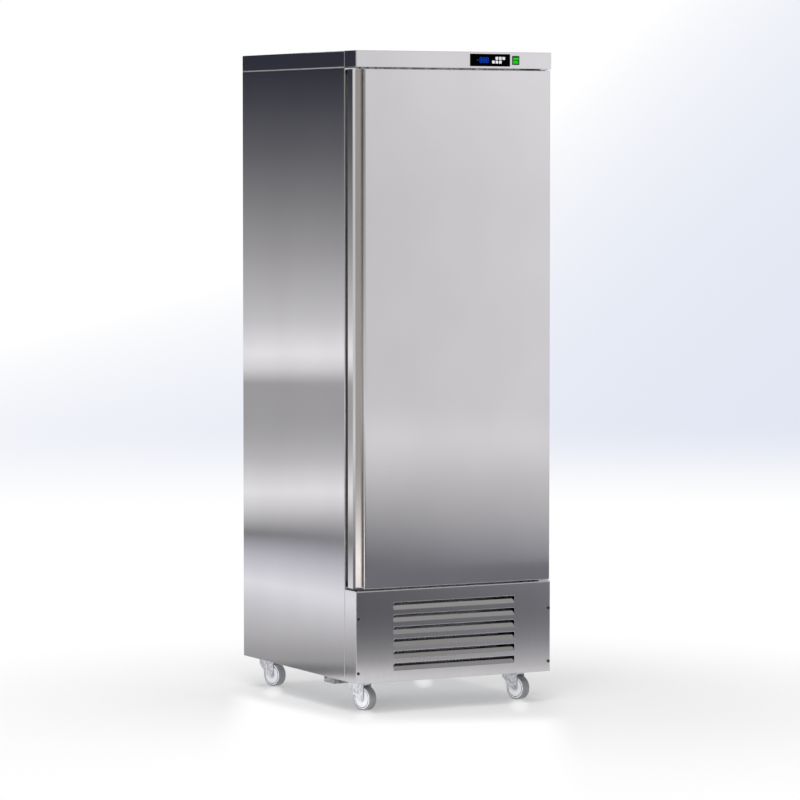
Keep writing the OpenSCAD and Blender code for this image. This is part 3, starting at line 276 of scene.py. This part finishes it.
FINISHES = {
    "stainless": brushed("stainless", (0.645, 0.63, 0.65), (0.665, 0.65, 0.67), (0.11, 0.15), edge=2.5 * MM),
    "grip_steel": brushed("grip_steel", (0.645, 0.63, 0.64), (0.67, 0.655, 0.66), (0.11, 0.15)),
    "liner_steel": brushed("liner_steel", (0.62, 0.62, 0.62), (0.70, 0.70, 0.70), (0.26, 0.34),
                           grain=(700, 700, 4), relief=0.003),
    "zinc_steel": galvanized("zinc_steel", 170, (0.54, 0.55, 0.59), (0.90, 0.91, 0.95)),
    "zinc_sheet": galvanized("zinc_sheet", 70, (0.64, 0.65, 0.68), (0.80, 0.81, 0.84)),
    # Darker copy of the zinc for the base channel: painted shade for its place under the cabinet
    "zinc_painted_shade": galvanized("zinc_painted_shade", 120, (0.16, 0.165, 0.18), (0.45, 0.46, 0.49)),
    "coil_aluminium": brushed("coil_aluminium", (0.55, 0.56, 0.57), (0.68, 0.69, 0.70), (0.3, 0.45),
                              grain=(80, 80, 40)),
    "copper": brushed("copper", (0.45, 0.21, 0.12), (0.66, 0.35, 0.21), (0.22, 0.36), grain=(60, 60, 60)),
    "dark_screw": brushed("dark_screw", (0.05, 0.05, 0.05), (0.09, 0.09, 0.09), (0.3, 0.4),
                          grain=(500, 500, 500)),
    "foam": moulded("foam", (0.62, 0.50, 0.25), (0.74, 0.63, 0.36), (0.8, 0.95), grains=350, relief=0.4),
    "grey_plastic": moulded("grey_plastic", (0.32, 0.32, 0.32), (0.38, 0.38, 0.38), (0.4, 0.5)),
    # White plastic of the wheels and keys, with painted shade in grooves and gaps within 6 mm, such as the
    # ring on each wheel
    "white_plastic": moulded("white_plastic", (0.82, 0.83, 0.86), (0.87, 0.88, 0.91), (0.3, 0.42),
                             groove_shade=6 * MM),
    "gasket_rubber": moulded("gasket_rubber", (0.33, 0.305, 0.29), (0.39, 0.365, 0.35), (0.55, 0.7)),
    "grey_tyre": moulded("grey_tyre", (0.22, 0.22, 0.23), (0.28, 0.28, 0.29), (0.26, 0.32),
                         grains=600, relief=0.02),
    "shelf_coat": moulded("shelf_coat", (0.66, 0.67, 0.68), (0.74, 0.75, 0.76), (0.25, 0.35)),
    "dark_paint": moulded("dark_paint", (0.012, 0.012, 0.014), (0.025, 0.025, 0.028), (0.3, 0.42),
                          grains=500, relief=0.15),
    "black_plastic": moulded("black_plastic", (0.014, 0.014, 0.014), (0.026, 0.026, 0.026), (0.4, 0.55)),
    "black_gloss": moulded("black_gloss", (0.0003, 0.0003, 0.0004), (0.0006, 0.0006, 0.0008), (0.1, 0.16),
                           grains=1500, relief=0.01, **{"Specular IOR Level": 0.005}),
    "green_dark": moulded("green_dark", (0.006, 0.045, 0.008), (0.012, 0.075, 0.014), (0.3, 0.4)),
    # Bright green, with painted shade in grooves and gaps within 4 mm
    "green_bright": moulded("green_bright", (0.006, 0.64, 0.002), (0.01, 0.74, 0.004), (0.25, 0.35),
                            groove_shade=4 * MM, **{"Specular IOR Level": 0.1}),
}

# Each node takes the finish of its slot, and two zinc sheets take a kind of their own; the base channel's
# darker zinc is painted shade
slots = {row["node"]: row["material_slot"] for row in frame["record"]["subparts"]}
zinc_kinds = {"base_channel": "zinc_painted_shade", "back_panel": "zinc_sheet"}
for name, obj in nodes.items():
    obj.data.materials.clear()
    obj.data.materials.append(FINISHES[zinc_kinds.get(name, slots[name])])


def add_piece(name, mesh, material):
    """Object of the part from a bmesh, which is used up."""
    data = bpy.data.meshes.new(name)
    mesh.to_mesh(data)
    mesh.free()
    data.materials.append(material)
    obj = bpy.data.objects.new(name, data)
    scene.collection.objects.link(obj)
    return obj


# Lit digits on the display

DIGIT_SIZE = Vector((9.7, 17.6)) * MM
DIGIT_STROKE = 2.3 * MM
DIGIT_PITCH = 11.1 * MM
DIGIT_ROW = "-888"
DIGIT_LEFT = -47.7 * MM
DIGIT_THICK = 0.12 * MM
# Ends of each bar in a digit, as shares of its width and height, and the bars of each sign
BARS = {"a": ((0, 1), (1, 1)), "b": ((1, 0.5), (1, 1)), "c": ((1, 0), (1, 0.5)), "d": ((0, 0), (1, 0)),
        "e": ((0, 0), (0, 0.5)), "f": ((0, 0.5), (0, 1)), "g": ((0, 0.5), (1, 0.5))}
SIGNS = {"-": "g", "8": "abcdefg"}
# Gap at a bar's tip and length of its pointed end, as shares of the stroke
BAR_TIP = 0.1
BAR_SHOULDER = 0.6
# Colour of the digits, unlit and lit
DIGIT_DARK = (0.001, 0.005, 0.04)
DIGIT_BLUES = [(NOISE_LOW, (0.001, 0.045, 0.48)), (NOISE_HIGH, (0.002, 0.06, 0.57))]
DIGIT_GRAIN = (400, 400, 400)


def add_bar(mesh, start, end, front):
    """Six-cornered bar between two points of the XZ plane, with pointed ends, facing -Y."""
    along = (end - start).normalized()
    across = Vector((-along.y, along.x)) * DIGIT_STROKE / 2
    tip = along * DIGIT_STROKE * BAR_TIP
    shoulder = along * DIGIT_STROKE * BAR_SHOULDER
    outline = [start + tip, start + shoulder - across, end - shoulder - across,
               end - tip, end - shoulder + across, start + shoulder + across]
    rings = [[mesh.verts.new((p.x, y, p.y)) for p in outline] for y in (front, front + 2 * DIGIT_THICK)]
    mesh.faces.new(rings[0])
    mesh.faces.new(rings[1][::-1])
    for i in range(len(outline)):
        j = (i + 1) % len(outline)
        mesh.faces.new((rings[0][j], rings[0][i], rings[1][i], rings[1][j]))


def blue_light():
    """Glowing blue of the digits."""
    glow = Finish("blue_light", DIGIT_DARK, roughness=0.3, **{"Specular IOR Level": 0.03})
    blues = glow.ramp(glow.noise(DIGIT_GRAIN), DIGIT_BLUES)
    glow.set(**{"Emission Color": blues, "Emission Strength": 1.0})
    return glow.material


def lit_digits():
    """Row of digits, half sunk into the front of the display panel."""
    low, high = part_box("display_panel")
    mesh = bmesh.new()
    inner = DIGIT_SIZE - Vector((DIGIT_STROKE, DIGIT_STROKE))
    corner = Vector(((low.x + high.x) / 2 + DIGIT_LEFT, (low.z + high.z) / 2 - inner.y / 2))
    for place, sign in enumerate(DIGIT_ROW):
        origin = corner + Vector((place * DIGIT_PITCH, 0))
        for bar in SIGNS[sign]:
            ends = [origin + Vector((x * inner.x, z * inner.y)) for x, z in BARS[bar]]
            add_bar(mesh, *ends, low.y - DIGIT_THICK)
    obj = add_piece("display_digits", mesh, blue_light())
    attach(obj, "cabinet")


lit_digits()


# Pale bead in the seam under the top cover, a painted highlight that stands in for the light caught by the
# cover's rounded lower edge

BEAD_RADIUS = 2.0 * MM
BEAD_OUT = 0.8 * MM
BEAD_IN = 0.2 * MM
BEAD_STEPS = 12


def seam_highlight_bead():
    """Round pale bead along the lower edge of the top cover, on the left and on the right: a painted
    highlight for the cover's rounded edge.
    """
    low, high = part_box("top_cover")
    half = math.acos(1 - (BEAD_OUT + BEAD_IN) / BEAD_RADIUS)
    angles = [half * (2 * i / BEAD_STEPS - 1) for i in range(BEAD_STEPS + 1)]
    profile = [(BEAD_RADIUS * (math.cos(a) - 1) + BEAD_OUT, BEAD_RADIUS * math.sin(a)) for a in angles]
    mesh = bmesh.new()
    for x, side in ((low.x, -1), (high.x, 1)):
        near, far = [[mesh.verts.new((x + side * out, y, low.z + rise)) for out, rise in profile]
                     for y in (low.y, high.y)]
        for i in range(len(profile)):
            j = (i + 1) % len(profile)
            mesh.faces.new((near[i], near[j], far[j], far[i]))
        mesh.faces.new(near)
        mesh.faces.new(far[::-1])
    bmesh.ops.recalc_face_normals(mesh, faces=mesh.faces)
    obj = add_piece("seam_highlight_bead", mesh, FINISHES["grey_plastic"])
    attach(obj, "cabinet")


seam_highlight_bead()


def stage_mesh(name, corners, material):
    """One flat face that isn't part of the object."""
    data = bpy.data.meshes.new(name)
    data.from_pydata(corners, [], [range(len(corners))])
    data.materials.append(material)
    obj = bpy.data.objects.new(name, data)
    scene.collection.objects.link(obj)
    return obj


def stage_tree(name):
    """Empty material: itself, the tools for its nodes and the socket for its shader."""
    material = bpy.data.materials.new(name)
    material.use_nodes = True
    material.node_tree.nodes.clear()
    tools = Nodes(material.node_tree)
    output = tools.new("OutputMaterial")
    return material, tools, output.inputs["Surface"]


# Floor

FLOOR_RADIUS = 7.0
FLOOR_STEPS = 96
FLOOR_COLOR = (0.85, 0.85, 0.845, 1)
# Share of the floor that takes shadow, the middle of that area, and the distances where it fades and ends
FLOOR_SHADOW = 0.63
SHADOW_CENTRE = -0.35 * AHEAD + 0.15 * RIGHT
SHADOW_NEAR = 0.6
SHADOW_FAR = 2.1
# Painted sheen, for the light that the bright steel throws on the floor: its nearest corner, the slopes of
# its two edges, the distances from them where it starts and is full, its half width, and the softness of its
# sides
SHEEN_CORNER = Vector((-0.13, -0.6))
SHEEN_SLOPES = (-1.69, 0.14)
SHEEN_START = -0.05
SHEEN_FULL = 0.2
SHEEN_HALF = 0.5
SHEEN_SOFT = 0.06
# Painted deeper shadow under the near edges of the part: how much, and the distances behind the sheen's
# edges where it starts and is full
CONTACT = 0.19
CONTACT_START = -0.72
CONTACT_FULL = -0.32
# Painted patches of light, for what the bright wheels throw on the floor in front of them: offset, half
# sizes, strength
PATCH_AHEAD = -0.16
PATCH_SIZE = Vector((0.038, 0.19))
PATCH_STRENGTH = 0.48


def painted_sheen(tools):
    """Painted sheen in front of the part, and how many times deeper the painted shadow is close behind its
    edges.
    """
    across = tools.dot(tools.coords, RIGHT)
    nearer = tools.math("SUBTRACT", SHEEN_CORNER.y, tools.dot(tools.coords, AHEAD))
    aside = tools.math("SUBTRACT", across, SHEEN_CORNER.x)
    slants = [tools.math("MULTIPLY_ADD", aside, slope, nearer) for slope in SHEEN_SLOPES]
    edge = tools.math("MAXIMUM", *slants)
    front = tools.range(edge, 0.0, 1.0, SHEEN_START, SHEEN_FULL, smooth=True)
    under = tools.range(edge, 0.0, CONTACT, CONTACT_START, CONTACT_FULL, smooth=True)
    sides = (SHEEN_HALF - SHEEN_SOFT, SHEEN_HALF + SHEEN_SOFT)
    inside = tools.range(tools.math("ABSOLUTE", across), 1.0, 0.0, *sides, smooth=True)
    return tools.math("MULTIPLY", front, inside), tools.math("MULTIPLY_ADD", under, inside, 1.0)


def painted_patch(tools, middle):
    """Soft oval of painted light, about as wide as a wheel and long towards the view."""
    squares = []
    for direction, half in zip((RIGHT, AHEAD), PATCH_SIZE):
        place = tools.dot(tools.coords, direction / half)
        away = tools.math("SUBTRACT", place, direction.dot(middle) / half)
        squares.append(tools.math("MULTIPLY", away, away))
    return tools.range(tools.math("ADD", *squares), PATCH_STRENGTH, 0.0, smooth=True)


def floor():
    """White floor that takes the cast shadow near the part, with a painted sheen in front, painted light
    before the wheels and painted deeper shadow under the near edges, and fades into the backdrop.
    """
    material, tools, surface = stage_tree("floor")
    white = tools.new("Emission")
    matte = tools.new("BsdfDiffuse")
    matte.inputs["Color"].default_value = FLOOR_COLOR
    radius = tools.new("VectorMath", operation="DISTANCE")
    tools.put(tools.coords, radius.inputs[0])
    radius.inputs[1].default_value = SHADOW_CENTRE
    shadow = tools.range(radius.outputs["Value"], FLOOR_SHADOW, 0.0, SHADOW_NEAR, SHADOW_FAR, smooth=True)
    bright, deeper = painted_sheen(tools)
    for corner in ("front_left", "front_right", "rear_left", "rear_right"):
        middle = sum(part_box("tyre_" + corner), Vector()) / 2 + PATCH_AHEAD * AHEAD
        bright = tools.math("MAXIMUM", bright, painted_patch(tools, middle))
    shadow = tools.math("MULTIPLY", shadow, deeper)
    share = tools.math("MULTIPLY", shadow, tools.math("SUBTRACT", 1.0, bright))
    tools.put(tools.mix_shader(share, white.outputs[0], matte.outputs[0]), surface)
    turns = [2 * math.pi * i / FLOOR_STEPS for i in range(FLOOR_STEPS)]
    rim = [(FLOOR_RADIUS * math.cos(turn), FLOOR_RADIUS * math.sin(turn), 0) for turn in turns]
    stage_mesh("floor", rim, material)


floor()


# Cards that only show in the metal

CARD_FOOT = 0.005
# What a share of blue adds to a grey, and the shares of a warm grey, in red, green and blue
BLUE_CAST = (-0.5, -0.3, 1.0)
WARM_CAST = (1.025, 0.98, 0.93)


def grey(level, blue=0.0):
    """Grey of this level with a share of blue."""
    return tuple(level * (1 + cast * blue) for cast in BLUE_CAST)


def warm(level):
    """Grey of this level with a faint warm cast."""
    return tuple(level * cast for cast in WARM_CAST)


def only_in_metal(obj):
    """Hides a card from everything but reflections."""
    obj.visible_camera = False
    obj.visible_diffuse = False
    obj.visible_transmission = False
    obj.visible_shadow = False


def card(name, middle, away, gap, width, levels, fan=((0, 0), (1, 0)), drift=((0, 0), (1, 0))):
    """Upright card that the metal reflects, with this gap from the middle of a face.

    Levels are (height on the part where it shows, colour). Fan is (height, how far the levels fall to
    the right, per metre), and drift is (height, how much brighter they get to the right, per metre).
    """
    run = Vector((*middle, 0)) - CAMERA_PLACE
    run.z = 0
    slope = gap / run.length

    def on_card(z):
        return z + (z - CAMERA_PLACE.z) * slope

    top = on_card(levels[-1][0])
    centre = Vector((*middle, 0)) + away * gap
    right = Vector((-away.y, away.x, 0))
    material, tools, surface = stage_tree(name)
    across = tools.math("SUBTRACT", tools.dot(tools.coords, right), right.dot(centre))
    upright = tools.dot(tools.coords, (0, 0, 1))

    def along(height, stops):
        place = tools.range(height, 0.0, 1.0, CARD_FOOT, top)
        reach = top - CARD_FOOT
        return tools.ramp(place, [((on_card(z) - CARD_FOOT) / reach, color) for z, color in stops])

    def plain(stops):
        return along(upright, [(z, (amount,) * 3) for z, amount in stops])

    light = tools.new("Emission")
    tools.put(along(tools.math("MULTIPLY_ADD", across, plain(fan), upright), levels), light.inputs["Color"])
    tools.put(tools.math("MULTIPLY_ADD", across, plain(drift), 1.0), light.inputs["Strength"])
    tools.put(light.outputs[0], surface)
    ends = [centre - right * width / 2, centre + right * width / 2]
    heights = (CARD_FOOT, CARD_FOOT, top, top)
    corners = [(*p.xy, z) for p, z in zip(ends + ends[::-1], heights)]
    only_in_metal(stage_mesh(name, corners, material))


def flag(name, corner, size, under, over):
    """Level card that the louvers reflect, with two greys under it from back to front and one over it."""
    material, tools, surface = stage_tree(name)
    forward = tools.dot(tools.coords, (0, -1, 0))
    place = tools.range(forward, 0.0, 1.0, -corner.y, size.y - corner.y)
    sides = []
    for color in (tools.ramp(place, [(0.0, under[0]), (0.5, under[1])]), (*over, 1)):
        light = tools.new("Emission")
        tools.put(color, light.inputs["Color"])
        sides.append(light.outputs[0])
    tools.put(tools.mix_shader(tools.new("NewGeometry").outputs["Backfacing"], *sides), surface)
    edges = [(size.x, 0), (size.x, -size.y), (0, -size.y), (0, 0)]
    corners = [(corner.x + x, corner.y + y, corner.z) for x, y in edges]
    only_in_metal(stage_mesh(name, corners, material))


# Where the left side, the front, the grip of the door and the front corner throw the view
SIDE_AWAY = Vector((-AHEAD.x, AHEAD.y, 0))
FRONT_AWAY = Vector((AHEAD.x, -AHEAD.y, 0))
GRIP_AWAY = Vector((-0.965, -0.259, 0)).normalized()
CORNER_AWAY = Vector((-0.695, -0.719, 0)).normalized()
# Middles of the faces that the cards stand off from, and the place of the level card
low = cad_box[0]
SIDE_MIDDLE = (low.x, 0.04)
FRONT_MIDDLE = (0, low.y)
GRIP_MIDDLE = (-0.33, low.y + 0.03)
CORNER_MIDDLE = (low.x - 0.6, low.y + 0.58)
LOUVERS_CORNER = Vector((-0.4, low.y - 0.01, 0.387))
LOUVERS_SIZE = Vector((1.1, 0.5))
# Light of each card, from low to high
SIDE_LEVELS = [
    (0.10, grey(0.2)), (0.117, grey(0.45)), (0.135, grey(0.46)), (0.155, grey(0.5)), (0.19, grey(0.60)),
    (0.255, grey(0.775, 0.02)), (0.35, grey(1.07, 0.03)), (0.445, grey(0.685, 0.06)),
    (0.52, grey(0.28, 0.03)), (0.61, grey(0.86)), (0.66, grey(1.09)), (0.765, grey(0.68)),
    (0.83, grey(0.545)), (0.89, grey(0.485)), (1.005, grey(0.465)), (1.055, grey(0.93)), (1.10, grey(1.12)),
    (1.205, grey(0.77)), (1.27, grey(0.66)), (1.43, grey(0.44)), (1.59, grey(0.28, 0.02)),
    (1.75, grey(0.155, 0.07)), (1.90, grey(0.082, 0.16)), (2.0, grey(0.046, 0.26)), (2.06, grey(0.04, 0.3)),
    (2.35, grey(0.035, 0.3))]
SIDE_FAN = [(0.12, 0.04), (0.2, 0.08), (0.27, 0.16), (0.32, 0.2), (0.4, 0.15), (0.5, 0.1), (0.57, 0.0)]
FRONT_LEVELS = [
    (0.12, grey(0.60)), (0.15, grey(0.46)), (0.215, grey(0.25, 0.04)), (0.29, grey(0.17, 0.06)),
    (0.36, grey(0.18, 0.06)), (0.42, grey(0.21, 0.09)), (0.47, grey(0.29, 0.06)), (0.53, grey(0.40, 0.03)),
    (0.65, grey(0.62)), (0.72, grey(0.745)), (0.80, grey(0.90)), (0.85, grey(0.95)), (0.95, grey(0.855)),
    (1.6, grey(0.865)), (1.85, grey(0.92)), (2.06, grey(0.98))]
FRONT_DRIFT = [(0.42, 0.8), (0.72, 0.0), (0.85, 0.0), (1.0, 0.2), (2.0, 0.27)]
CORNER_LEVELS = [
    (0.10, grey(0.30)), (0.50, grey(0.30)), (0.63, grey(0.34)), (0.75, grey(0.50)), (0.92, grey(1.0)),
    (1.10, grey(0.80)), (1.30, grey(0.53)), (1.78, grey(0.23)), (2.06, grey(0.20))]
GRIP_LEVELS = [
    (0.10, warm(1.5)), (0.40, warm(1.8)), (0.455, warm(2.4)), (0.56, warm(1.67)), (0.63, warm(1.2)),
    (0.70, warm(0.90)), (0.78, warm(0.76)), (0.85, warm(0.71)), (2.06, warm(0.69))]
LOUVERS_UNDER = (grey(0.42, -0.03), grey(0.34, -0.03))
LOUVERS_OVER = grey(0.211, 0.08)

card("card_left", SIDE_MIDDLE, SIDE_AWAY, gap=0.5, width=1.6, levels=SIDE_LEVELS, fan=SIDE_FAN)
card("card_front", FRONT_MIDDLE, FRONT_AWAY, gap=0.9, width=3.0, levels=FRONT_LEVELS, drift=FRONT_DRIFT)
card("card_corner", CORNER_MIDDLE, CORNER_AWAY, gap=0.9, width=2.4, levels=CORNER_LEVELS)
card("card_grip", GRIP_MIDDLE, GRIP_AWAY, gap=0.9, width=0.22, levels=GRIP_LEVELS)
flag("card_louvers", LOUVERS_CORNER, LOUVERS_SIZE, LOUVERS_UNDER, LOUVERS_OVER)


# Broad soft lamps from the front left and overhead, and a low one for the casters


def lamp(name, place, aim, size, watts, spread=math.pi):
    """Soft lamp that the metal doesn't show."""
    data = bpy.data.lights.new(name, "AREA")
    data.energy = watts
    data.size = size
    data.spread = spread
    obj = bpy.data.objects.new(name, data)
    obj.location = place
    obj.rotation_euler = (Vector(aim) - Vector(place)).to_track_quat("-Z", "Y").to_euler()
    obj.visible_glossy = False
    scene.collection.objects.link(obj)


lamp("key", place=(-2.6, -4.6, 5.2), aim=(0, -0.2, 0.4), size=4.0, watts=120)
lamp("overhead", place=(-0.5, -0.2, 5.5), aim=(-0.5, -0.2, 0), size=4.0, watts=130)
lamp("fill", place=(-2.2, -2.6, 0.45), aim=(-0.1, -0.2, 0.05), size=1.2, watts=4.5, spread=math.radians(50))


# Backdrop

# Even light on all that isn't metal
AMBIENT = (0.5, 0.5, 0.51, 1)
# Haze behind the part: its colour, (across, up, offset) of its two edges, and where it starts and is full
HAZE_COLOR = (0.75, 0.785, 0.89)
HAZE_EDGES = ((21.9, -23.1, -0.58), (8.75, -31.8, -0.64))
HAZE_START = -0.0895
HAZE_FULL = -0.066
# Studio that the metal shows: its colours from the horizon to the top, and its dark side
SKY_START = -0.1
SKY_COLORS = [(0.0, (0.95, 0.95, 0.96)), (0.3, (0.85, 0.85, 0.86)), (1.0, (0.5, 0.49, 0.48))]
DARK_SIDE = Vector((-0.9, -0.43, 0)).normalized()
DARK_COLOR = (*warm(0.42), 1)
DARK_START = 0.35
DARK_FULL = 0.75


def haze(tools, up):
    """White with a pale blue haze low on both sides."""
    across = tools.dot(tools.coords, RIGHT)
    slants = []
    for per_across, per_up, offset in HAZE_EDGES:
        height = tools.math("MULTIPLY_ADD", up, per_up, offset)
        slants.append(tools.math("MULTIPLY_ADD", across, per_across, height))
    edge = tools.math("MAXIMUM", tools.math("MAXIMUM", *slants), 0.0)
    clear = tools.math("EXPONENT", tools.math("MULTIPLY", edge, -1.0))
    rise = tools.range(up, 0.0, 1.0, HAZE_START, HAZE_FULL, smooth=True)
    depth = tools.math("MULTIPLY", rise, tools.math("SUBTRACT", 1.0, clear))
    return tools.ramp(depth, [(0, (1, 1, 1)), (1, HAZE_COLOR)])


def studio(tools, up):
    """Soft sky with one dark side."""
    sky = tools.ramp(tools.range(up, 0.0, 1.0, SKY_START, 1.0), SKY_COLORS)
    flank = tools.range(tools.dot(tools.coords, DARK_SIDE), 0.0, 1.0, DARK_START, DARK_FULL, smooth=True)
    mixed = tools.new("MixRGB")
    for value, socket in zip((flank, sky, DARK_COLOR), mixed.inputs):
        tools.put(value, socket)
    return mixed.outputs[0]


def backdrop():
    """World with an even light, a studio for the metal and a hazy white behind the part."""
    world = bpy.data.worlds.new("studio")
    scene.world = world
    world.use_nodes = True
    world.node_tree.nodes.clear()
    tools = Nodes(world.node_tree, "Generated")
    up = tools.dot(tools.coords, (0, 0, 1))
    shaders = []
    for color in (AMBIENT, studio(tools, up), haze(tools, up)):
        shader = tools.new("Background")
        tools.put(color, shader.inputs["Color"])
        shaders.append(shader.outputs[0])
    ray = tools.new("LightPath")
    shown = tools.math("MAXIMUM", ray.outputs["Is Camera Ray"], ray.outputs["Is Transmission Ray"])
    lit = tools.mix_shader(ray.outputs["Is Glossy Ray"], shaders[0], shaders[1])
    output = tools.new("OutputWorld")
    tools.put(tools.mix_shader(shown, lit, shaders[2]), output.inputs["Surface"])


backdrop()
